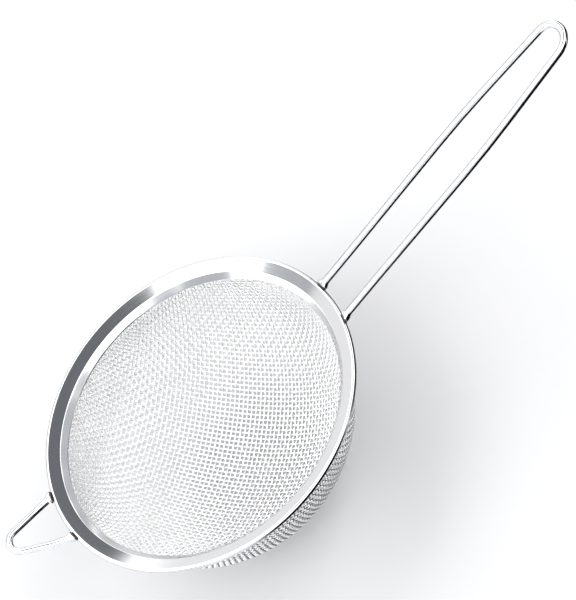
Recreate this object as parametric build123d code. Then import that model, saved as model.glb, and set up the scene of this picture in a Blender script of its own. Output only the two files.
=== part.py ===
from build123d import *
import math
import os

# A hand-held tea strainer: a woven wire bowl held in a folded steel rim, with a long loop
# handle on one side and a short rest hook on the other, both spot-welded to the rim.
# Millimetres. +Z is up out of the bowl, +X runs along the handle, and the origin is the
# centre of the rim's flat underside, which sits on the mouth of a cup or a teapot.

# ---- rim: one strip of sheet steel, rolled into a hollow ring ----
rim_outer_radius = 50.0
rim_height = 2.2
strip_thickness = 0.4
flange_width = 4.4  # outer wall to crease, seen from above
flange_drop = 1.7
lip_width = 1.8  # crease to the free edge, seen from above
lip_drop = 1.9
clamp_length = 3.1  # the lower leaf that presses the cloth against the lip
outer_bend_radius = 0.5
crease_bend_radius = 0.6
clamp_bend_radius = 0.6

# ---- bowl: plain-woven wire cloth, drawn into a dome ----
cloth_wire_diameter = 0.4
cloth_thickness = 2 * cloth_wire_diameter
cloth_clearance = 0.05  # each side of the cloth inside the fold
bowl_depth = 37.6  # straight wall's foot to the middle of the cloth at the bottom
bowl_wall_gap = 0.15  # the cloth's inner face stands this far inside the lip's edge
hem_length = 2.5  # flared edge of the cloth inside the fold
hem_bend_radius = 0.7  # on the outer face of the cloth

# ---- handle: one wire bent into a long loop ----
handle_wire_diameter = 2.2
handle_rise_angle = 18.0
handle_height_at_rim = 1.85  # the loop's plane above the seat, at the foot line
handle_length = 99.8  # from the foot line to the middle of the wire at the tip
handle_spacing_at_rim = 14.1
handle_spacing_at_waist = 14.9
handle_waist_distance = 62.0
handle_taper_angle = 3.6
handle_waist_bend_radius = 260.0
handle_knee_distance = 14.0
handle_knee_bend_radius = 80.0
handle_landing_height = 1.35  # the wire's middle where it enters its squashed toe

# ---- rest hook: one wire bent into a short V ----
hook_wire_diameter = 2.0
hook_rise_angle = 15.8
hook_height_at_rim = 0.95
hook_length = 15.5
hook_spacing_at_rim = 16.6
hook_flank_angle = 18.9
hook_knee_distance = 4.0
hook_knee_bend_radius = 20.0
hook_landing_height = 1.0

# ---- squashed wire ends and their spot welds ----
toe_thickness = 0.95
toe_width = 3.2
toe_height = 2.2
toe_corner_radius = 0.35
handle_toe_base = 0.3  # height of the toe's lower edge
hook_toe_base = 0.0
toe_reach = 0.7  # the round wire runs this far into its toe
weld_thickness = 0.12  # the nugget between the toe and the rim
weld_radius = 0.6


def unit(vector):
    """A plane vector at length one."""
    length = math.hypot(*vector)
    return (vector[0] / length, vector[1] / length)


def shifted(point, direction, distance):
    """The point moved along a direction."""
    return (point[0] + direction[0] * distance, point[1] + direction[1] * distance)


def point_at_height(point, direction, height):
    """Where the line through a point reaches a height."""
    return shifted(point, direction, (height - point[1]) / direction[1])


def point_at_radius(point, direction, radius):
    """Where the line through a point reaches a radius."""
    return shifted(point, direction, (radius - point[0]) / direction[0])


# ---- the rim's section, as (radius, height) pairs on the strip's outside face ----
top_corner = (rim_outer_radius, rim_height)
bottom_corner = (rim_outer_radius, 0.0)
crease = (rim_outer_radius - flange_width, rim_height - flange_drop)
lip_edge = (crease[0] - lip_width, crease[1] - lip_drop)
lip_direction = unit((lip_width, lip_drop))
lip_normal = (lip_direction[1], -lip_direction[0])

# The cloth lies on the lip's hidden face, and the lower leaf lies on the cloth.
cloth_inner_offset = strip_thickness + cloth_clearance
cloth_outer_offset = cloth_inner_offset + cloth_thickness
clamp_offset = cloth_outer_offset + cloth_clearance + strip_thickness
clamp_corner = point_at_height(shifted(lip_edge, lip_normal, clamp_offset), lip_direction, 0.0)
clamp_edge = shifted(clamp_corner, lip_direction, -clamp_length)

# ---- the cloth's section ----
cloth_inner_radius = lip_edge[0] - bowl_wall_gap
cloth_outer_radius = cloth_inner_radius + cloth_thickness
hem_inner_corner = point_at_radius(
    shifted(lip_edge, lip_normal, cloth_inner_offset), lip_direction, cloth_inner_radius
)
hem_outer_corner = point_at_radius(
    shifted(lip_edge, lip_normal, cloth_outer_offset), lip_direction, cloth_outer_radius
)
hem_turn = math.atan2(lip_direction[0], lip_direction[1])
hem_inner_bend_radius = hem_bend_radius + cloth_thickness
wall_foot_height = hem_inner_corner[1] - 1.1 * hem_inner_bend_radius * math.tan(hem_turn / 2)

# ---- the wires' landing on the rim ----
toe_inner_radius = rim_outer_radius + weld_thickness
toe_outer_radius = toe_inner_radius + toe_thickness
foot_line = rim_outer_radius + handle_wire_diameter / 2


def rim_band():
    """The strip: lip, flange, outer wall, flat seat and clamping leaf, one thickness throughout."""
    corners = [lip_edge, crease, top_corner, bottom_corner, clamp_corner, clamp_edge]
    radii = [crease_bend_radius, outer_bend_radius, outer_bend_radius, clamp_bend_radius]
    outside = FilletPolyline(*corners, radius=radii)
    section = make_face(offset(outside, strip_thickness, side=Side.RIGHT))
    return revolve(Plane.XZ * section, Axis.Z)


def dome_block(radius, depth, hem_corner, hem_radius):
    """A solid block with one face of the cloth: half an ellipsoid, a short wall and a flared hem."""
    foot = (radius, wall_foot_height)
    hem_end = shifted(hem_corner, lip_direction, hem_length)
    bottom = (0, wall_foot_height - depth)
    section = make_face(
        [
            EllipticalCenterArc((0, wall_foot_height), radius, depth, -90, arc_size=90),
            FilletPolyline(foot, hem_corner, hem_end, radius=[hem_radius]),
            Polyline(hem_end, (0, hem_end[1]), bottom),
        ]
    )
    return revolve(Plane.XZ * section, Axis.Z)


def wire_cloth_bowl():
    """The cloth as a closed shell, its hem's edge cut level inside the fold."""
    inner_depth = bowl_depth - cloth_thickness / 2
    outer_depth = bowl_depth + cloth_thickness / 2
    outside = dome_block(cloth_outer_radius, outer_depth, hem_outer_corner, hem_bend_radius)
    inside = dome_block(cloth_inner_radius, inner_depth, hem_inner_corner, hem_inner_bend_radius)
    return outside - inside


def on_slope(distance, side, angle, height):
    """A point of a wire loop: its distance up the slope from the foot line, and its side offset."""
    rise = math.radians(angle)
    return (foot_line + distance * math.cos(rise), side, height + distance * math.sin(rise))


def swept_wire(points, radii, diameter):
    """A round wire along straight runs joined by tangent arcs."""
    path = FilletPolyline(*points, radius=radii)
    return sweep(Plane(origin=path @ 0, z_dir=path % 0) * Circle(diameter / 2), path=path)


def squashed_toe(side, base):
    """A wire's end pressed flat against the rim's outer wall."""
    azimuth = math.asin(side / toe_inner_radius)
    middle = (toe_inner_radius + toe_outer_radius) / 2
    slab = extrude(
        Plane.YZ * RectangleRounded(toe_width, toe_height, toe_corner_radius),
        toe_thickness / 2 + weld_thickness,
        both=True,
    )
    slab = fillet(slab.faces().sort_by(Axis.X)[-1].edges(), toe_corner_radius)
    place = Location(
        (middle * math.cos(azimuth), middle * math.sin(azimuth), base + toe_height / 2),
        (0, 0, math.degrees(azimuth)),
    )
    return place * slab


def clear_of_rim(shape):
    """Cut a wire back to the face that its spot welds stand on."""
    return shape - Pos(0, 0, rim_height / 2) * Cylinder(toe_inner_radius, 20 * rim_height)


def handle_wire():
    """The long loop: squashed toes, two nearly parallel legs with a slight bend, and a rounded tip."""
    half_rim = handle_spacing_at_rim / 2
    half_waist = handle_spacing_at_waist / 2
    taper = math.radians(handle_taper_angle)
    half_tip = half_waist - (handle_length - handle_waist_distance) * math.tan(taper)
    tip_radius = 0.995 * half_tip / math.tan((math.pi / 2 - taper) / 2)
    leg = [
        (foot_line - toe_reach, half_rim, handle_landing_height),
        on_slope(handle_knee_distance, half_rim, handle_rise_angle, handle_height_at_rim),
        on_slope(handle_waist_distance, half_waist, handle_rise_angle, handle_height_at_rim),
        on_slope(handle_length, half_tip, handle_rise_angle, handle_height_at_rim),
    ]
    other_leg = [(x, -y, z) for x, y, z in reversed(leg)]
    radii = [handle_knee_bend_radius, handle_waist_bend_radius, tip_radius]
    wire = swept_wire(leg + other_leg, radii + radii[::-1], handle_wire_diameter)
    for side in (half_rim, -half_rim):
        wire += squashed_toe(side, handle_toe_base)
    return clear_of_rim(wire)


def rest_hook():
    """The short V on the far side, with its own squashed toes turned down the rim's wall."""
    half_rim = hook_spacing_at_rim / 2
    flank = math.radians(hook_flank_angle)
    half_tip = half_rim - hook_length * math.tan(flank)
    tip_radius = 0.99 * half_tip / math.tan((math.pi / 2 - flank) / 2)
    knee_side = half_rim - hook_knee_distance * math.tan(flank)
    leg = [
        (foot_line - toe_reach, half_rim, hook_landing_height),
        on_slope(hook_knee_distance, knee_side, hook_rise_angle, hook_height_at_rim),
        on_slope(hook_length, half_tip, hook_rise_angle, hook_height_at_rim),
    ]
    other_leg = [(x, -y, z) for x, y, z in reversed(leg)]
    radii = [hook_knee_bend_radius, tip_radius]
    wire = swept_wire(leg + other_leg, radii + radii[::-1], hook_wire_diameter)
    for side in (half_rim, -half_rim):
        wire += squashed_toe(side, hook_toe_base)
    return Rot(0, 0, 180) * clear_of_rim(wire)


def spot_welds(spacing, toe_base, heading):
    """Two nuggets, each filling the gap between the rim's wall and a squashed toe."""
    ring = Cylinder(toe_inner_radius, 4 * rim_height) - Cylinder(rim_outer_radius, 4 * rim_height)
    nuggets = []
    for side in (spacing / 2, -spacing / 2):
        azimuth = math.degrees(math.asin(side / toe_inner_radius))
        height = toe_base + toe_height / 2
        plug = Rot(0, 0, azimuth) * Pos(rim_outer_radius, 0, height) * Rot(0, 90, 0)
        nuggets.append(ring & plug * Cylinder(weld_radius, 4 * weld_thickness))
    return Rot(0, 0, heading) * Compound([n.solid() for n in nuggets])


def write(name, shape):
    """One STEP file for one named piece."""
    export_step(shape, f"parts/{name}.step")


os.makedirs("parts", exist_ok=True)
write("rim_band", rim_band())
write("mesh_bowl", wire_cloth_bowl())
write("handle_wire", handle_wire())
write("rest_hook", rest_hook())
write("handle_welds", spot_welds(handle_spacing_at_rim, handle_toe_base, 0))
write("hook_welds", spot_welds(hook_spacing_at_rim, hook_toe_base, 180))
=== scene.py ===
"""A hand-held tea strainer: woven wire bowl, rolled steel rim, loop handle and rest hook.

Each sub-assembly is a class that holds its real sizes in millimetres and builds its own meshes
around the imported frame. Meshes are stored in metres, in the frame's axes: +Z is up out of the
bowl, +X runs along the handle, and the origin is the centre of the rim's flat underside.
"""

import logging  # noqa: E402
import math  # noqa: E402
from dataclasses import dataclass, field  # noqa: E402
from enum import Enum  # noqa: E402

import bmesh  # noqa: E402
import bpy  # noqa: E402
import numpy as np  # noqa: E402
from mathutils import Matrix, Vector  # noqa: E402


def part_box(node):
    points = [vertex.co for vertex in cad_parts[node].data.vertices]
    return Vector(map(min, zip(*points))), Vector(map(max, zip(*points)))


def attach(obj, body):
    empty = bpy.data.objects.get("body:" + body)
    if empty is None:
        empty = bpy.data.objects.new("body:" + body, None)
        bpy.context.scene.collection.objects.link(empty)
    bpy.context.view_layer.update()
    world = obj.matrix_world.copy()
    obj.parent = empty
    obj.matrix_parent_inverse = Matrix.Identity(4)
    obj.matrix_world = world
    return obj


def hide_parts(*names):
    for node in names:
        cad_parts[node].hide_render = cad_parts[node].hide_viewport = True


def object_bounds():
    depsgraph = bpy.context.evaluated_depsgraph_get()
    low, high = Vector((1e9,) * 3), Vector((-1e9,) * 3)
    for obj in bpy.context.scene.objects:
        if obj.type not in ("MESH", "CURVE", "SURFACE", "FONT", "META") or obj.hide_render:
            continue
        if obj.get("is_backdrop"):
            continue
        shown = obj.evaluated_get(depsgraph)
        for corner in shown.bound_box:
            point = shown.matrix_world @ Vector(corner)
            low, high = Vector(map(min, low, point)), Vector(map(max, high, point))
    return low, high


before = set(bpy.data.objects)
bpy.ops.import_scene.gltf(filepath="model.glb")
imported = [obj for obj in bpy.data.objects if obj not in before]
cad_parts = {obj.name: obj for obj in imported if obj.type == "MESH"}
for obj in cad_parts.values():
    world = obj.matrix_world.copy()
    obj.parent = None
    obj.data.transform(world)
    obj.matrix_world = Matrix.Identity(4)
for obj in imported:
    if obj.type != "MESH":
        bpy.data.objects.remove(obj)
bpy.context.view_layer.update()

MM = 0.001
BODY = "root"
LOG = logging.getLogger("tea_strainer")


# ---- colour and node helpers -------------------------------------------------------------------


def linear(hex_colour: str) -> tuple[float, float, float, float]:
    """Turn an sRGB hex colour into the linear colour that shaders take.

    Args:
        hex_colour: Six hex digits, red first.

    Returns:
        Red, green and blue by the sRGB curve, and an alpha of one.
    """
    parts = [int(hex_colour[i : i + 2], 16) / 255 for i in (0, 2, 4)]
    red, green, blue = (c / 12.92 if c <= 0.04045 else ((c + 0.055) / 1.055) ** 2.4 for c in parts)
    return red, green, blue, 1.0


def add_node(
    tree: bpy.types.NodeTree, kind: str, links: dict | None = None, **settings: object
) -> bpy.types.Node:
    """Add one node, set it up and link it.

    Args:
        tree: The node tree that takes the node.
        kind: The node's type name.
        links: Input name or index to an output socket, or to a plain value.
        settings: The node's own properties.

    Returns:
        The new node.
    """
    node = tree.nodes.new(kind)
    for name, value in settings.items():
        setattr(node, name, value)
    for key, value in (links or {}).items():
        socket = node.inputs[key]
        if isinstance(value, bpy.types.NodeSocket):
            tree.links.new(value, socket)
        else:
            socket.default_value = value
    return node


def ramp(
    tree: bpy.types.NodeTree, factor: bpy.types.NodeSocket, stops: list[tuple[float, str]]
) -> bpy.types.NodeSocket:
    """Map a factor to colours.

    Args:
        tree: The node tree that takes the ramp.
        factor: The socket that drives it.
        stops: Position and sRGB hex colour of each stop, lowest first.

    Returns:
        The ramp's colour socket.
    """
    node = add_node(tree, "ShaderNodeValToRGB", {"Fac": factor})
    elements = node.color_ramp.elements
    while len(elements) < len(stops):
        elements.new(0.5)
    for element, (position, colour) in zip(elements, stops):
        element.position = position
        element.color = linear(colour)
    return node.outputs["Color"]


def between(
    tree: bpy.types.NodeTree, factor: bpy.types.NodeSocket, low: float, high: float
) -> bpy.types.NodeSocket:
    """Stretch a zero-to-one factor between two values.

    Args:
        tree: The node tree that takes the node.
        factor: The socket to stretch.
        low: The value at zero.
        high: The value at one.

    Returns:
        The stretched socket.
    """
    links = {"Value": factor, "To Min": low, "To Max": high}
    return add_node(tree, "ShaderNodeMapRange", links).outputs["Result"]


def new_metal(name: str) -> tuple[bpy.types.Material, bpy.types.NodeTree, bpy.types.Node]:
    """Start a material whose surface is bare metal.

    Args:
        name: The material's name.

    Returns:
        The material, its node tree and its Principled node.
    """
    material = bpy.data.materials.new(name)
    material.use_nodes = True
    tree = material.node_tree
    shader = tree.nodes["Principled BSDF"]
    shader.inputs["Metallic"].default_value = 1.0
    return material, tree, shader


# ---- geometry helpers --------------------------------------------------------------------------


def unit(vectors: np.ndarray) -> np.ndarray:
    """Vectors along the last axis, each at length one."""
    return vectors / np.linalg.norm(vectors, axis=-1, keepdims=True)


def filleted_path(
    corners: np.ndarray, radii: list[float], step: float, turn_step: float
) -> tuple[np.ndarray, np.ndarray]:
    """Sample straight runs joined by tangent arcs.

    At a corner that turns by angle a, the arc starts radius * tan(a / 2) before the corner. Its
    points are start + radius * (sin t * d + (1 - cos t) * n) for t from 0 to a, where d is the
    incoming direction and n the unit vector across it towards the outgoing one.

    Args:
        corners: The path's corners, one per row, in two or three dimensions.
        radii: One radius for each inner corner.
        step: Longest spacing along a straight run.
        turn_step: Largest turn between neighbours on an arc, in degrees.

    Returns:
        The points and the unit tangents.
    """
    points, tangents = [], []
    directions = unit(np.diff(corners, axis=0))
    start = corners[0]
    for corner, before, after, radius in zip(corners[1:-1], directions[:-1], directions[1:], radii):
        turn = math.acos(float(np.clip(before @ after, -1, 1)))
        arc_start = corner - before * radius * math.tan(turn / 2)
        across = unit(after - before * math.cos(turn))
        count = max(1, math.ceil(np.linalg.norm(arc_start - start) / step))
        points.append(start + (arc_start - start) * np.arange(count)[:, None] / count)
        tangents.append(np.repeat(before[None], count, axis=0))
        count = max(2, math.ceil(math.degrees(turn) / turn_step))
        angle = turn * np.arange(count)[:, None] / count
        points.append(arc_start + radius * (np.sin(angle) * before + (1 - np.cos(angle)) * across))
        tangents.append(np.cos(angle) * before + np.sin(angle) * across)
        start = corner + after * radius * math.tan(turn / 2)
    count = max(1, math.ceil(np.linalg.norm(corners[-1] - start) / step))
    points.append(start + (corners[-1] - start) * np.linspace(0, 1, count + 1)[:, None])
    tangents.append(np.repeat(directions[-1][None], count + 1, axis=0))
    return np.concatenate(points), np.concatenate(tangents)


def grid_faces(
    rows: int, columns: int, wrap_rows: bool = False, wrap_columns: bool = False
) -> np.ndarray:
    """Number the quads of a grid of vertices that is stored row by row.

    Args:
        rows: Number of rows.
        columns: Number of columns.
        wrap_rows: Join the last row to the first.
        wrap_columns: Join the last column to the first.

    Returns:
        One quad per row of four vertex numbers.
    """
    row = np.arange(rows if wrap_rows else rows - 1)[:, None]
    column = np.arange(columns if wrap_columns else columns - 1)[None, :]
    below, right = (row + 1) % rows, (column + 1) % columns
    corners = [
        row * columns + column,
        row * columns + right,
        below * columns + right,
        below * columns + column,
    ]
    return np.stack(corners, axis=-1).reshape(-1, 4)


def make_piece(
    name: str, vertices: np.ndarray, faces: list, material: bpy.types.Material
) -> bpy.types.Object:
    """Make one smooth-shaded mesh piece that rides on the strainer.

    Args:
        name: The piece's name.
        vertices: Vertex positions in millimetres.
        faces: Lists of vertex numbers.
        material: Its finish.

    Returns:
        The new object.
    """
    mesh = bpy.data.meshes.new(name)
    mesh.from_pydata((vertices * MM).tolist(), [], faces, shade_flat=False)
    mesh.update()
    mesh.materials.append(material)
    piece = bpy.data.objects.new(name, mesh)
    bpy.context.scene.collection.objects.link(piece)
    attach(piece, BODY)
    return piece


def merge_poles(piece: bpy.types.Object) -> None:
    """Join the points that meet at a pole and turn every face outwards.

    Args:
        piece: The piece to mend, a closed shape.
    """
    work = bmesh.new()
    work.from_mesh(piece.data)
    bmesh.ops.remove_doubles(work, verts=work.verts, dist=1e-6)
    bmesh.ops.dissolve_degenerate(work, edges=work.edges, dist=1e-7)
    bmesh.ops.recalc_face_normals(work, faces=work.faces)
    work.to_mesh(piece.data)
    work.free()


def report(piece: bpy.types.Object) -> None:
    """Log a piece's name and size.

    Args:
        piece: The finished piece.
    """
    size = ", ".join(f"{d / MM:.1f}" for d in piece.dimensions)
    LOG.info("%s: %d faces, %s mm", piece.name, len(piece.data.polygons), size)


# ---- finishes ----------------------------------------------------------------------------------


@dataclass(frozen=True)
class PolishedStrip:
    """Cold-rolled 18/8 stainless strip, roll-formed and buffed: a soft mirror with faint lines."""

    colour: str = "d8d8d9"
    roughness: float = 0.13
    line_pitch_mm: float = 0.25
    line_depth_mm: float = 0.002
    wave_mm: float = 9.0
    wave_depth_mm: float = 0.02

    def material(self) -> bpy.types.Material:
        """Build the finish, its buffing lines running round the rim.

        Returns:
            The material.
        """
        material, tree, shader = new_metal("polished_stainless_strip")
        place = add_node(tree, "ShaderNodeTexCoord").outputs["Object"]
        split = add_node(tree, "ShaderNodeSeparateXYZ", {"Vector": place})
        x, y, z = (split.outputs[a] for a in "XYZ")
        heading = add_node(tree, "ShaderNodeMath", {0: y, 1: x}, operation="ARCTAN2").outputs[0]
        flat = add_node(tree, "ShaderNodeCombineXYZ", {"X": x, "Y": y})
        spoke = add_node(tree, "ShaderNodeVectorMath", {0: flat.outputs[0]}, operation="LENGTH")
        radius = spoke.outputs["Value"]
        rolled = add_node(tree, "ShaderNodeCombineXYZ", {"X": radius, "Y": heading, "Z": z}).outputs[0]
        pitch = 1 / (self.line_pitch_mm * MM)
        stretched = add_node(
            tree, "ShaderNodeVectorMath", {0: rolled, 1: (pitch, 3.0, pitch)}, operation="MULTIPLY"
        ).outputs[0]
        lines = add_node(tree, "ShaderNodeTexNoise", {"Vector": stretched, "Scale": 1.0, "Detail": 3.0})
        waves = add_node(
            tree, "ShaderNodeTexNoise", {"Vector": place, "Scale": 1 / (self.wave_mm * MM), "Detail": 1.0}
        )
        tree.links.new(
            between(tree, lines.outputs["Fac"], self.roughness * 0.7, self.roughness * 1.4),
            shader.inputs["Roughness"],
        )
        low = add_node(
            tree,
            "ShaderNodeBump",
            {"Height": waves.outputs["Fac"], "Distance": self.wave_depth_mm * MM, "Strength": 1.0},
        )
        fine = add_node(
            tree,
            "ShaderNodeBump",
            {
                "Height": lines.outputs["Fac"],
                "Distance": self.line_depth_mm * MM,
                "Strength": 1.0,
                "Normal": low.outputs["Normal"],
            },
        )
        tree.links.new(fine.outputs["Normal"], shader.inputs["Normal"])
        shader.inputs["Base Color"].default_value = linear(self.colour)
        return material


@dataclass(frozen=True)
class DrawnWire:
    """Hard-drawn stainless wire, bright from the die: narrow highlights, hair-fine drawing lines."""

    name: str = "drawn_stainless_wire"
    colour: str = "f1f2f3"
    dull_colour: str = "dcdee0"
    roughness: float = 0.12
    patch_mm: float = 3.0

    def material(self) -> bpy.types.Material:
        """Build the finish, with slow changes of tone from the drawing soap's residue.

        Returns:
            The material.
        """
        material, tree, shader = new_metal(self.name)
        place = add_node(tree, "ShaderNodeTexCoord").outputs["Object"]
        patches = add_node(
            tree, "ShaderNodeTexNoise", {"Vector": place, "Scale": 1 / (self.patch_mm * MM), "Detail": 2.0}
        ).outputs["Fac"]
        tree.links.new(
            ramp(tree, patches, [(0.3, self.dull_colour), (0.7, self.colour)]), shader.inputs["Base Color"]
        )
        tree.links.new(
            between(tree, patches, self.roughness * 1.4, self.roughness * 0.7), shader.inputs["Roughness"]
        )
        return material


@dataclass(frozen=True)
class WeldMetal:
    """Metal squeezed out of a spot weld and left bare: rough, darkened by the heat."""

    colour: str = "6f6a66"
    scale_colour: str = "3f3b3a"
    roughness: float = 0.42
    grain_mm: float = 0.25

    def material(self) -> bpy.types.Material:
        """Build the finish, mottled by scale.

        Returns:
            The material.
        """
        material, tree, shader = new_metal("heat_tinted_weld")
        place = add_node(tree, "ShaderNodeTexCoord").outputs["Object"]
        grain = add_node(
            tree, "ShaderNodeTexNoise", {"Vector": place, "Scale": 1 / (self.grain_mm * MM), "Detail": 3.0}
        ).outputs["Fac"]
        tree.links.new(
            ramp(tree, grain, [(0.35, self.scale_colour), (0.65, self.colour)]), shader.inputs["Base Color"]
        )
        shader.inputs["Roughness"].default_value = self.roughness
        return material


# ---- sub-assemblies ----------------------------------------------------------------------------


@dataclass
class RolledRim:
    """One steel strip rolled into a hollow ring, with a lip inside and a leaf that grips the cloth."""

    thickness: float = 0.4
    flange_width: float = 4.4
    flange_drop: float = 1.7
    lip_width: float = 1.8
    lip_drop: float = 1.9
    clamp_length: float = 3.1
    bend_radii: tuple[float, float, float, float] = (0.5, 0.8, 0.8, 0.6)
    grip_gap: float = 0.9
    edge_round: float = 0.07
    segments: int = 480
    outer_radius: float = field(init=False)
    height: float = field(init=False)

    def __post_init__(self) -> None:
        """Take the outer radius and the height from the frame."""
        low, high = (np.array(c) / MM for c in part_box("rim_band"))
        self.outer_radius = float(high[0])
        self.height = float(high[2])

    @property
    def crease(self) -> np.ndarray:
        """Radius and height of the fold between the flange and the lip."""
        return np.array([self.outer_radius - self.flange_width, self.height - self.flange_drop])

    @property
    def lip_edge(self) -> np.ndarray:
        """Radius and height of the lip's free edge."""
        return self.crease - np.array([self.lip_width, self.lip_drop])

    @property
    def lip_direction(self) -> np.ndarray:
        """Unit vector up the lip, from its free edge to the crease."""
        return unit(np.array([self.lip_width, self.lip_drop]))

    @property
    def lip_normal(self) -> np.ndarray:
        """Unit vector from the lip's shown face into the fold."""
        along = self.lip_direction
        return np.array([along[1], -along[0]])

    def section(self) -> np.ndarray:
        """Outline the strip as a closed loop of radius and height.

        The shown face is a filleted path through the section's corners, and the hidden face is
        the same path moved by the strip's thickness along its normal. Each free edge is half an
        ellipse from one face to the other.

        Returns:
            The loop's points, one per row.
        """
        foot = self.lip_edge + self.lip_normal * (self.grip_gap + 2 * self.thickness)
        clamp_corner = foot - self.lip_direction * foot[1] / self.lip_direction[1]
        clamp_edge = clamp_corner - self.lip_direction * self.clamp_length
        corners = np.array(
            [
                self.lip_edge + self.lip_direction * self.edge_round,
                self.crease,
                [self.outer_radius, self.height],
                [self.outer_radius, 0.0],
                clamp_corner,
                clamp_edge + self.lip_direction * self.edge_round,
            ]
        )
        shown, along = filleted_path(corners, list(self.bend_radii), step=0.4, turn_step=9.0)
        inward = np.stack([along[:, 1], -along[:, 0]], axis=1)
        hidden = shown + inward * self.thickness
        angle = np.linspace(0, math.pi, 7)[1:-1, None]
        end = 0.5 * (shown[-1] + hidden[-1])
        start = 0.5 * (shown[0] + hidden[0])
        half = 0.5 * self.thickness
        end_cap = end - np.cos(angle) * inward[-1] * half + np.sin(angle) * along[-1] * self.edge_round
        start_cap = start + np.cos(angle) * inward[0] * half - np.sin(angle) * along[0] * self.edge_round
        return np.concatenate([shown, end_cap, hidden[::-1], start_cap])

    def build(self, material: bpy.types.Material) -> bpy.types.Object:
        """Turn the section round the axis.

        A point at radius r and height z goes to (r cos a, r sin a, z) for each heading a.

        Args:
            material: The strip's finish.

        Returns:
            The rim.
        """
        loop = self.section()
        heading = np.linspace(0, 2 * math.pi, self.segments, endpoint=False)[:, None]
        radius, height = loop[None, :, 0], loop[None, :, 1]
        level = np.broadcast_to(height, (self.segments, len(loop)))
        ring = [radius * np.cos(heading), radius * np.sin(heading), level]
        vertices = np.stack(ring, axis=-1).reshape(-1, 3)
        faces = grid_faces(self.segments, len(loop), wrap_rows=True, wrap_columns=True)
        piece = make_piece("rolled_rim", vertices, faces.tolist(), material)
        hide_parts("rim_band")
        return piece


class Family(Enum):
    """The two sets of wires in a plain weave, and the sign of their first crossing."""

    WARP = 1
    WEFT = -1


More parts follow.
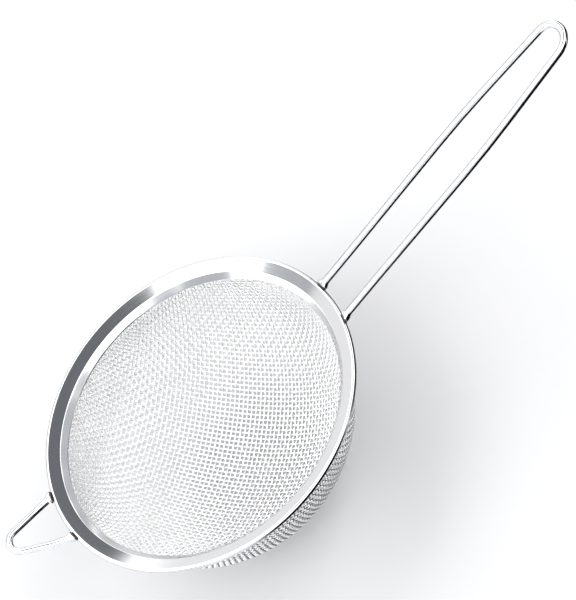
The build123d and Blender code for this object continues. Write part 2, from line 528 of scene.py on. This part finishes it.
@dataclass
class WireCloth:
    """Plain-woven wire cloth pressed into a dome, every wire a tube that goes over and under."""

    rim: RolledRim
    wire_diameter: float = 0.4
    wire_width: float = 0.62
    pitch: float = 1.435
    wall_gap: float = 0.15
    bend_radius: float = 1.1
    spare_hem: float = 15.0
    hem_margin: float = 0.3
    dome_steps: int = 600
    sides: int = 6
    samples_per_pitch: int = 4
    halves: int = 2

    def __post_init__(self) -> None:
        """Work out the middle surface's meridian from the rim and the frame."""
        low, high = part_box("mesh_bowl")
        self.radius = self.rim.lip_edge[0] - self.wall_gap + self.wire_diameter
        offset = self.rim.thickness + self.rim.grip_gap / 2
        hem_point = self.rim.lip_edge + self.rim.lip_normal * offset
        along = self.rim.lip_direction
        corner = hem_point + along * (self.radius - hem_point[0]) / along[0]
        turn = math.atan2(along[0], along[1])
        foot = corner[1] - 1.1 * self.bend_radius * math.tan(turn / 2)
        depth = foot - low.z / MM - self.wire_diameter
        angle = np.linspace(0, math.pi / 2, self.dome_steps, endpoint=False)[:, None]
        dome = np.concatenate([self.radius * np.sin(angle), foot - depth * np.cos(angle)], axis=1)
        past_hem = corner + along * self.spare_hem
        flare = np.array([[self.radius, foot], corner, past_hem])
        top, _ = filleted_path(flare, [self.bend_radius], step=0.1, turn_step=3.0)
        self.meridian = np.concatenate([dome, top])
        steps = np.linalg.norm(np.diff(self.meridian, axis=0), axis=1)
        self.arc = np.concatenate([[0.0], np.cumsum(steps)])
        hem_height = high.z / MM - self.hem_margin
        self.hem_arc = float(np.interp(hem_height, self.meridian[-len(top) :, 1], self.arc[-len(top) :]))
        tangent = unit(np.gradient(self.meridian, axis=0))
        self.normal = np.stack([-tangent[:, 1], tangent[:, 0]], axis=1)

    def surface(self, flat: np.ndarray) -> tuple[np.ndarray, np.ndarray]:
        """Lift points of a flat map onto the dome.

        The map keeps each point's heading, and its distance from the centre is the arc length
        down the meridian from the bottom of the bowl.

        Args:
            flat: Map positions along the last axis.

        Returns:
            The points on the middle surface and the unit normals, which point into the bowl.
        """
        arc = np.linalg.norm(flat, axis=-1)
        heading = flat / np.maximum(arc, 1e-9)[..., None]
        radius, height = (np.interp(arc, self.arc, self.meridian[:, k]) for k in (0, 1))
        inward, upward = (np.interp(arc, self.arc, self.normal[:, k]) for k in (0, 1))
        points = np.concatenate([heading * radius[..., None], height[..., None]], axis=-1)
        normals = np.concatenate([heading * inward[..., None], upward[..., None]], axis=-1)
        return points, unit(normals)

    def crossings(self) -> np.ndarray:
        """Find where the wires cross once the flat cloth is drawn into the bowl.

        The cloth is cut with its wires at 45 degrees to the handle and drawn evenly from all
        sides, so on the flat map the wires stay straight and the crossings stay a square grid:
        i * pitch and j * pitch, turned by 45 degrees. Towards the rim the heading shrinks with the
        dome's radius, which shears the square holes into diamonds.

        Returns:
            Map positions indexed by warp and weft, not a number beyond the hem.
        """
        count = math.ceil(self.hem_arc / self.pitch) + 2
        steps = np.arange(-count, count + 1) * self.pitch
        warp, weft = np.meshgrid(steps, steps, indexing="ij")
        turned = math.sqrt(0.5) * np.stack([warp - weft, warp + weft], axis=-1)
        beyond = np.hypot(warp, weft) > self.hem_arc + 2 * self.pitch
        turned[beyond] = np.nan
        return turned

    def wire_paths(self, crossings: np.ndarray, family: Family) -> tuple[np.ndarray, np.ndarray, np.ndarray]:
        """Run every wire of one family through its crossings.

        Between crossings the map position follows a Catmull-Rom spline. The wire's middle then
        leaves the surface by half a diameter times cos(pi * t), with t counted in crossings, so
        that it passes over one neighbour and under the next.

        Args:
            crossings: Map positions indexed by wire and then by crossing.
            family: Which family the wires belong to.

        Returns:
            The wires' middles, the surface normals there and a mask of the samples inside the hem.
        """
        wires, stops = crossings.shape[:2]
        knots = np.pad(crossings, ((0, 0), (1, 1), (0, 0)), constant_values=np.nan)
        before, here, after = knots[:, :-3], knots[:, 1:-2], knots[:, 2:-1]
        beyond = knots[:, 3:]
        before = np.where(np.isnan(before), 2 * here - after, before)
        beyond = np.where(np.isnan(beyond), 2 * after - here, beyond)
        t = (np.arange(self.samples_per_pitch) / self.samples_per_pitch)[:, None]
        b, h, a, y = (k[:, :, None] for k in (before, here, after, beyond))
        spline = 0.5 * (
            2 * h + (a - b) * t + (2 * b - 5 * h + 4 * a - y) * t**2 + (3 * h - b - 3 * a + y) * t**3
        )
        flat = spline.reshape(wires, -1, 2)
        with np.errstate(invalid="ignore"):
            inside = np.linalg.norm(flat, axis=-1) <= self.hem_arc
        points, normals = self.surface(np.where(np.isnan(flat), 0.0, flat))
        phase = np.arange(wires)[:, None] + np.arange(flat.shape[1]) / self.samples_per_pitch
        swing = family.value * 0.5 * self.wire_diameter * np.cos(math.pi * phase)
        middles = points + normals * swing[..., None]
        middles[np.isnan(flat[..., 0])] = np.nan
        return middles, normals, inside

    def tubes(self, middles: np.ndarray, normals: np.ndarray, inside: np.ndarray) -> tuple[np.ndarray, list]:
        """Give a batch of wires their round section.

        Each sample carries a ring of points, middle + (half width * cos a * side +
        half thickness * sin a * lift), where side and lift are square to the wire and follow the
        surface normal. The finished cloth is rolled, so its wires are wider than they are thick.

        Args:
            middles: Wire middles indexed by wire and sample.
            normals: Surface normals at the same samples.
            inside: Mask of the samples to keep.

        Returns:
            The vertices and the faces, with a flat cap on every wire's end.
        """
        ahead = np.roll(middles, -1, axis=1) - middles
        behind = middles - np.roll(middles, 1, axis=1)
        along = np.where(np.isnan(ahead), behind, np.where(np.isnan(behind), ahead, ahead + behind))
        along = unit(along)
        side = unit(np.cross(normals, along))
        lift = np.cross(along, side)
        angle = 2 * math.pi * np.arange(self.sides) / self.sides
        across = 0.5 * self.wire_width * np.cos(angle)[:, None] * side[..., None, :]
        above = 0.5 * self.wire_diameter * np.sin(angle)[:, None] * lift[..., None, :]
        rings = middles[..., None, :] + across + above
        vertices = rings[inside].reshape(-1, 3)
        number = np.cumsum(inside.ravel()).reshape(inside.shape) - 1
        joined = inside[:, :-1] & inside[:, 1:]
        near, far = (n[joined][:, None] * self.sides for n in (number[:, :-1], number[:, 1:]))
        k = np.arange(self.sides)
        after = (k + 1) % self.sides
        quads = np.stack([near + k, near + after, far + after, far + k], axis=-1).reshape(-1, 4)
        first = inside & ~np.pad(inside, ((0, 0), (1, 0)))[:, :-1]
        last = inside & ~np.pad(inside, ((0, 0), (0, 1)))[:, 1:]
        caps = [number[first][:, None] * self.sides + k[::-1], number[last][:, None] * self.sides + k]
        return vertices, quads.tolist() + np.concatenate(caps).tolist()

    def build(self, material: bpy.types.Material) -> list[bpy.types.Object]:
        """Weave the bowl, each family in halves so that no piece grows too heavy.

        Args:
            material: The cloth wire's finish.

        Returns:
            Two pieces for each family of wires.
        """
        crossings = self.crossings()
        pieces = []
        for family, grid in ((Family.WARP, crossings), (Family.WEFT, crossings.transpose(1, 0, 2))):
            batch = self.wire_paths(grid, family)
            for number, rows in enumerate(np.array_split(np.arange(len(grid)), self.halves), start=1):
                vertices, faces = self.tubes(*(part[rows] for part in batch))
                name = f"{family.name.lower()}_wires_{number}"
                piece = make_piece(name, vertices, faces, material)
                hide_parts("mesh_bowl")
                pieces.append(piece)
        return pieces


@dataclass
class PressedToe:
    """A wire's end forged into a flat pad that stands on the rim's wall."""

    width: float = 3.2
    height: float = 2.2
    thickness: float = 0.95
    neck: float = 1.5
    gap: float = 0.12
    edge_round: float = 0.3
    flat_share: float = 0.6
    pad_power: float = 4.0

    def reach(self, distance: np.ndarray, wire_radius: float) -> tuple[np.ndarray, np.ndarray, np.ndarray]:
        """Say how wide the section is at each distance from the wall.

        The pad keeps its half width and half height over its thickness, with both rims rounded
        as a quarter circle, and then narrows by a smooth step to the wire's radius over the neck.
        The outline is |x / width|^p + |y / height|^p = 1, whose power falls from 4 to 2.

        Args:
            distance: Distances along the wire from the pad's face.
            wire_radius: The round wire's radius.

        Returns:
            Half width, half height and the outline's power.
        """
        start = np.clip(distance / self.edge_round, 0, 1)
        rounding = self.edge_round * (1 - np.sqrt(1 - (1 - start) ** 2))
        t = np.clip((distance - self.flat_share * self.thickness) / self.neck, 0, 1)
        blend = t * t * (3 - 2 * t)
        half_width = (self.width / 2) * (1 - blend) + wire_radius * blend - rounding
        half_height = (self.height / 2) * (1 - blend) + wire_radius * blend - rounding
        return half_width, half_height, self.pad_power - (self.pad_power - 2) * blend


@dataclass
class BentWire:
    """One round wire bent into a loop, its two ends forged into pads against the rim's wall."""

    name: str
    node: str
    rim: RolledRim
    toe: PressedToe
    heading: int
    toe_base: float
    corners: tuple[tuple[float, float], ...]
    radii: tuple[float, ...]
    landing_height: float
    height_at_rim: float
    rise: float
    diameter: float
    sides: int = 28
    foot_offset: float = 1.1
    edge_length: float = 0.3
    foot_length: float = 3.2
    pad_turn_start: float = 0.5
    pad_turn_length: float = 1.2

    def path(self) -> tuple[np.ndarray, np.ndarray]:
        """Lay the wire's middle line.

        A corner at distance d up the slope and half spacing s stands at
        (foot + d cos rise, s, height + d sin rise). The other leg mirrors the first.

        Returns:
            Points and unit tangents from one end to the other.
        """
        foot = self.rim.outer_radius + self.foot_offset
        slope = math.radians(self.rise)
        start_side = self.corners[0][1]
        wall = math.sqrt((self.rim.outer_radius + self.toe.gap) ** 2 - start_side**2)
        leg = [(wall, start_side, self.landing_height)]
        for distance, side in self.corners[1:]:
            place = (foot + distance * math.cos(slope), side, self.height_at_rim + distance * math.sin(slope))
            leg.append(place)
        mirrored = [(x, -y, z) for x, y, z in reversed(leg)]
        points, along = filleted_path(
            np.array(leg + mirrored), list(self.radii + self.radii[::-1]), step=0.8, turn_step=4.0
        )
        return points, along

    def build(self, material: bpy.types.Material) -> bpy.types.Object:
        """Sweep the section along the path, from pad to round wire and back to a pad.

        A point of the section at angle a lies at middle + w c |c|^(2/p - 1) * side +
        h s |s|^(2/p - 1) * lift, with c and s the cosine and sine of a. Side and lift turn from the
        wall's own directions at a pad to the square ones of the wire.

        Args:
            material: The wire's finish.

        Returns:
            The bent wire with its pads.
        """
        coarse, _ = self.path()
        length = np.concatenate([[0.0], np.cumsum(np.linalg.norm(np.diff(coarse, axis=0), axis=1))])
        total = length[-1]
        at_edge = np.linspace(0, self.edge_length, 6)
        fine = np.concatenate([at_edge, np.linspace(self.edge_length + 0.1, self.foot_length - 0.2, 14)])
        between_ends = length[(length > self.foot_length) & (length < total - self.foot_length)]
        stations = np.unique(np.concatenate([fine, between_ends, total - fine]))
        middle = np.stack([np.interp(stations, length, coarse[:, k]) for k in range(3)], axis=1)
        along = unit(np.gradient(middle, stations, axis=0))
        upright = np.array([0.0, 0.0, 1.0])
        side = unit(np.cross(upright, along))
        lift = np.cross(along, side)
        from_end = np.minimum(stations, total - stations)
        half_width, half_height, power = self.toe.reach(from_end, self.diameter / 2)
        pad = np.clip(1 - (from_end - self.pad_turn_start) / self.pad_turn_length, 0, 1)[:, None]
        outward = unit(middle * np.array([1.0, 1.0, 0.0]))
        wall_side = np.cross(upright, outward) * np.sign((side * np.cross(upright, outward)).sum(1))[:, None]
        side = unit(wall_side * pad + side * (1 - pad))
        lift = unit(upright * pad + lift * (1 - pad))
        drop = (self.toe_base + self.toe.height / 2 - self.landing_height) * pad
        middle = middle + upright * drop
        angle = 2 * math.pi * np.arange(self.sides) / self.sides
        cosine, sine = np.cos(angle)[None], np.sin(angle)[None]
        squeeze = (2 / power - 1)[:, None]
        across = half_width[:, None] * cosine * np.abs(cosine + 1e-9) ** squeeze
        above = half_height[:, None] * sine * np.abs(sine + 1e-9) ** squeeze
        rings = middle[:, None] + across[..., None] * side[:, None] + above[..., None] * lift[:, None]
        rings[..., 0] *= self.heading
        rings[..., 1] *= self.heading
        rows = len(stations)
        faces = grid_faces(rows, self.sides, wrap_columns=True).tolist()
        faces += [list(range(self.sides))[::-1], list(range((rows - 1) * self.sides, rows * self.sides))]
        piece = make_piece(self.name, rings.reshape(-1, 3), faces, material)
        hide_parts(self.node)
        return piece


@dataclass
class SpotWelds:
    """The nuggets between the pads and the rim's wall, each with the flash squeezed out round it."""

    name: str
    node: str
    wire: BentWire
    bead_radius: float = 0.17
    unevenness: float = 0.45
    inset: float = 0.93
    squash: float = 0.8
    lowest: float = 0.06
    around: int = 72
    sides: int = 10

    def build(self, material: bpy.types.Material) -> list[bpy.types.Object]:
        """Build one weld for each pad.

        A bead follows the pad's outline, the power-four oval, against the wall. Its radius is
        bead_radius * (1 + unevenness * the mean of three sines), and its inner side runs in to the
        middle so that bead and nugget are one closed shape.

        Args:
            material: The weld's finish.

        Returns:
            The two welds.
        """
        toe, rim = self.wire.toe, self.wire.rim
        pieces = []
        for number, sign in enumerate((1, -1), start=1):
            spread = 2 * math.pi * np.arange(self.around) / self.around
            cosine, sine = np.cos(spread), np.sin(spread)
            across = self.inset * (toe.width / 2) * cosine * np.abs(cosine + 1e-9) ** -0.5
            above = self.inset * (toe.height / 2) * sine * np.abs(sine + 1e-9) ** -0.5
            ripple = np.sin(3 * spread + number) + np.sin(7 * spread + 2 * number) + np.sin(13 * spread)
            bead = self.bead_radius * (1 + self.unevenness * ripple / 3)[:, None]
            turn = np.linspace(-0.5 * math.pi, 0.5 * math.pi, self.sides)[None]
            outline = np.stack([across, above], axis=-1)[:, None]
            swell = 1 + (bead * np.cos(turn))[..., None] / np.linalg.norm(outline, axis=-1, keepdims=True)
            flat = outline * swell
            depth = toe.gap / 2 + bead * np.sin(turn) * self.squash
            ends = [flat[:, :1] * 0.0, flat, flat[:, :1] * 0.0]
            flat = np.concatenate(ends, axis=1)
            depth = np.concatenate([depth[:, :1], depth, depth[:, -1:]], axis=1)
            centre = self.wire.toe_base + toe.height / 2
            height = np.maximum(centre + flat[..., 1], self.lowest)
            azimuth = math.asin(self.wire.corners[0][1] / (rim.outer_radius + toe.gap)) * sign
            heading = azimuth + flat[..., 0] / rim.outer_radius
            radius = rim.outer_radius + depth
            points = np.stack([radius * np.cos(heading), radius * np.sin(heading), height], axis=-1)
            points[..., :2] *= self.wire.heading
            rows, columns = points.shape[:2]
            faces = grid_faces(rows, columns, wrap_rows=True)
            piece = make_piece(
                f"{self.name}_{number}", points.reshape(-1, 3), faces.tolist(), material
            )
            merge_poles(piece)
            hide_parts(self.node)
            pieces.append(piece)
        return pieces


# ---- studio ------------------------------------------------------------------------------------


WHITE = "ffffff"
PALE_GREY = "a1a1a2"  # seen in the flange on the near side
LIP_GREY = "7b7d80"  # seen in the lip, all round
FLANGE_GREY = "434548"  # seen in the flange on the far side
BLACK = "050506"  # seen in the outer wall and along the wires' undersides


@dataclass(frozen=True)
class Card:
    """A soft-edged dark or bright area of the light tent, seen in the metal's reflections."""

    towards: tuple[float, float, float]
    half_angle: float
    softness: float
    colour: str


@dataclass
class Studio:
    """A white light tent with dark cards, a pale floor and the camera."""

    tent_colour: str = WHITE
    tent_strength: float = 3.2
    wall_colour: str = "dcdcdd"
    wall_top: float = 0.62
    wall_top_softness: float = 0.015
    wall_foot: float = -0.06
    wall_foot_softness: float = 0.02
    ground_colour: str = "989a9c"
    cards: tuple[Card, ...] = (
        Card((-0.25, 0.93, 0.20), 26.0, 6.0, PALE_GREY),
        Card((-0.55, 0.66, 0.51), 14.0, 5.0, PALE_GREY),
        Card((-0.30, 0.85, -0.45), 27.0, 8.0, "363739"),
        Card((-0.78, -0.52, 0.37), 17.0, 2.0, LIP_GREY),
        Card((-0.43, -0.82, 0.37), 17.0, 2.0, LIP_GREY),
        Card((0.05, -0.93, 0.37), 17.0, 2.0, LIP_GREY),
        Card((0.41, -0.83, 0.37), 17.0, 2.0, LIP_GREY),
        Card((0.69, -0.62, 0.37), 17.0, 2.0, LIP_GREY),
        Card((0.87, -0.28, 0.37), 16.0, 2.0, LIP_GREY),
        Card((0.95, 0.06, 0.26), 15.0, 2.0, LIP_GREY),
        Card((0.90, 0.38, 0.12), 15.0, 2.0, LIP_GREY),
        Card((0.77, 0.64, 0.00), 15.0, 2.0, LIP_GREY),
        Card((0.08, 0.00, 0.99), 18.5, 1.5, FLANGE_GREY),
        Card((0.37, 0.20, 0.905), 15.0, 2.0, FLANGE_GREY),
        Card((0.47, 0.50, 0.73), 15.0, 2.0, FLANGE_GREY),
        Card((0.39, 0.76, 0.52), 12.5, 2.0, FLANGE_GREY),
        Card((-0.60, 0.42, 0.68), 8.5, 1.0, "3c3e41"),
        Card((-0.61, 0.42, 0.67), 7.0, 1.5, "747679"),
        Card((0.70, 0.62, 0.35), 8.0, 3.0, WHITE),
        Card((0.80, 0.33, 0.50), 7.0, 3.0, WHITE),
        Card((0.37, -0.90, -0.21), 40.0, 3.0, BLACK),
        Card((0.10, -0.42, -0.90), 24.0, 2.0, BLACK),
        Card((0.97, 0.02, -0.15), 26.0, 3.0, BLACK),
        Card((0.66, 0.64, -0.38), 24.0, 3.0, BLACK),
        Card((0.52, -0.38, -0.76), 13.0, 2.0, BLACK),
        Card((0.64, -0.07, -0.76), 13.0, 2.0, BLACK),
        Card((0.59, 0.26, -0.76), 13.0, 2.0, BLACK),
        Card((0.38, 0.52, -0.76), 13.0, 2.0, BLACK),
        Card((0.10, 0.64, -0.76), 14.0, 2.0, BLACK),
    )
    floor_colour: str = "c6c6c7"
    floor_roughness: float = 0.9
    floor_reach: float = 3.0
    azimuth: float = -83.4
    elevation: float = 49.83
    roll: float = -43.51
    distance: float = 754.0
    lens: float = 165.18
    aim: tuple[float, float, float] = (39.66, 8.77, 3.76)

    def light_tent(self) -> None:
        """Light the scene from all round, with the cards added one over the other."""
        world = bpy.data.worlds.new("light_tent")
        bpy.context.scene.world = world
        world.use_nodes = True
        tree = world.node_tree
        tree.nodes.clear()
        towards = add_node(tree, "ShaderNodeTexCoord").outputs["Generated"]
        height = add_node(tree, "ShaderNodeSeparateXYZ", {"Vector": towards}).outputs["Z"]
        rise = add_node(tree, "ShaderNodeMapRange", {"Value": height, "From Min": -1.0}).outputs["Result"]
        foot, top = (0.5 + 0.5 * h for h in (self.wall_foot, self.wall_top))
        below, above = self.wall_foot_softness, self.wall_top_softness
        stops = [(foot - below, self.ground_colour), (foot + below, self.wall_colour)]
        stops += [(top - above, self.wall_colour), (top + above, self.tent_colour)]
        colour = ramp(tree, rise, stops)
        for card in self.cards:
            facing = Vector(card.towards).normalized()
            near = add_node(
                tree, "ShaderNodeVectorMath", {0: towards, 1: facing}, operation="DOT_PRODUCT"
            )
            edges = {
                "Value": near.outputs["Value"],
                "From Min": math.cos(math.radians(card.half_angle + card.softness)),
                "From Max": math.cos(math.radians(card.half_angle - card.softness)),
            }
            cover = add_node(tree, "ShaderNodeMapRange", edges, interpolation_type="SMOOTHSTEP")
            mix = add_node(tree, "ShaderNodeMix", {"Factor": cover.outputs["Result"]}, data_type="RGBA")
            tree.links.new(colour, mix.inputs[6])
            mix.inputs[7].default_value = linear(card.colour)
            colour = mix.outputs[2]
        seen = add_node(tree, "ShaderNodeLightPath").outputs["Is Camera Ray"]
        plain = add_node(tree, "ShaderNodeMix", {"Factor": seen}, data_type="RGBA")
        tree.links.new(colour, plain.inputs[6])
        plain.inputs[7].default_value = linear(self.tent_colour)
        back = add_node(
            tree, "ShaderNodeBackground", {"Color": plain.outputs[2], "Strength": self.tent_strength}
        )
        out = add_node(tree, "ShaderNodeOutputWorld", {"Surface": back.outputs[0]})
        out.is_active_output = True

    def floor(self) -> None:
        """Lay a plain pale floor under the bowl, which the metal doesn't mirror."""
        low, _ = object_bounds()
        reach = self.floor_reach
        corners = [(x * reach, y * reach, low[2]) for x, y in ((-1, -1), (1, -1), (1, 1), (-1, 1))]
        mesh = bpy.data.meshes.new("floor")
        mesh.from_pydata(corners, [], [(0, 1, 2, 3)])
        material = bpy.data.materials.new("pale_floor")
        material.use_nodes = True
        shader = material.node_tree.nodes["Principled BSDF"]
        shader.inputs["Base Color"].default_value = linear(self.floor_colour)
        shader.inputs["Roughness"].default_value = self.floor_roughness
        mesh.materials.append(material)
        floor = bpy.data.objects.new("floor", mesh)
        bpy.context.scene.collection.objects.link(floor)
        floor.visible_glossy = False
        floor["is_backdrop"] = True

    def camera(self) -> None:
        """Point the camera at the strainer, from its bearing, height and roll."""
        bearing, rise, roll = (math.radians(a) for a in (self.azimuth, self.elevation, self.roll))
        ahead = Vector((math.cos(bearing), math.sin(bearing), 0.0))
        back = ahead * math.cos(rise) + Vector((0.0, 0.0, math.sin(rise)))
        level = Vector((-math.sin(bearing), math.cos(bearing), 0.0))
        upright = back.cross(level)
        right = level * math.cos(roll) + upright * math.sin(roll)
        up = upright * math.cos(roll) - level * math.sin(roll)
        data = bpy.data.cameras.new("camera")
        data.lens = self.lens
        data.sensor_width = 36.0
        data.sensor_fit = "HORIZONTAL"
        data.clip_start = 0.01
        camera = bpy.data.objects.new("camera", data)
        bpy.context.scene.collection.objects.link(camera)
        place = Vector(self.aim) * MM + back * self.distance * MM
        camera.matrix_world = Matrix(
            (
                (right.x, up.x, back.x, place.x),
                (right.y, up.y, back.y, place.y),
                (right.z, up.z, back.z, place.z),
                (0.0, 0.0, 0.0, 1.0),
            )
        )
        bpy.context.scene.camera = camera

    def build(self) -> None:
        """Set the tent, the floor and the camera."""
        self.light_tent()
        self.floor()
        self.camera()
        bpy.context.scene.view_settings.view_transform = "Standard"


def main() -> None:
    """Build the strainer piece by piece, then the studio round it."""
    logging.basicConfig(level=logging.INFO, format="%(name)s: %(message)s")
    rim = RolledRim()
    report(rim.build(PolishedStrip().material()))
    cloth_steel = DrawnWire("drawn_cloth_wire", "fafafa", "f0f0f0", roughness=0.3, patch_mm=1.5).material()
    for piece in WireCloth(rim).build(cloth_steel):
        report(piece)
    wire_steel = DrawnWire().material()
    weld_steel = WeldMetal().material()
    handle = BentWire(
        name="loop_handle",
        node="handle_wire",
        rim=rim,
        toe=PressedToe(),
        heading=1,
        toe_base=0.3,
        corners=((0.0, 7.05), (14.0, 7.05), (62.0, 7.45), (99.8, 5.07)),
        radii=(80.0, 260.0, 5.37),
        landing_height=1.35,
        height_at_rim=1.85,
        rise=18.0,
        diameter=2.2,
    )
    hook = BentWire(
        name="rest_hook_wire",
        node="rest_hook",
        rim=rim,
        toe=PressedToe(),
        heading=-1,
        toe_base=0.0,
        corners=((0.0, 8.3), (4.0, 6.93), (15.5, 2.99)),
        radii=(20.0, 4.14),
        landing_height=1.0,
        height_at_rim=0.95,
        rise=15.8,
        diameter=2.0,
    )
    for wire, weld_name, weld_node in (
        (handle, "handle_weld", "handle_welds"),
        (hook, "hook_weld", "hook_welds"),
    ):
        report(wire.build(wire_steel))
        for piece in SpotWelds(weld_name, weld_node, wire).build(weld_steel):
            report(piece)
    Studio().build()


if __name__ == "__main__":
    main()
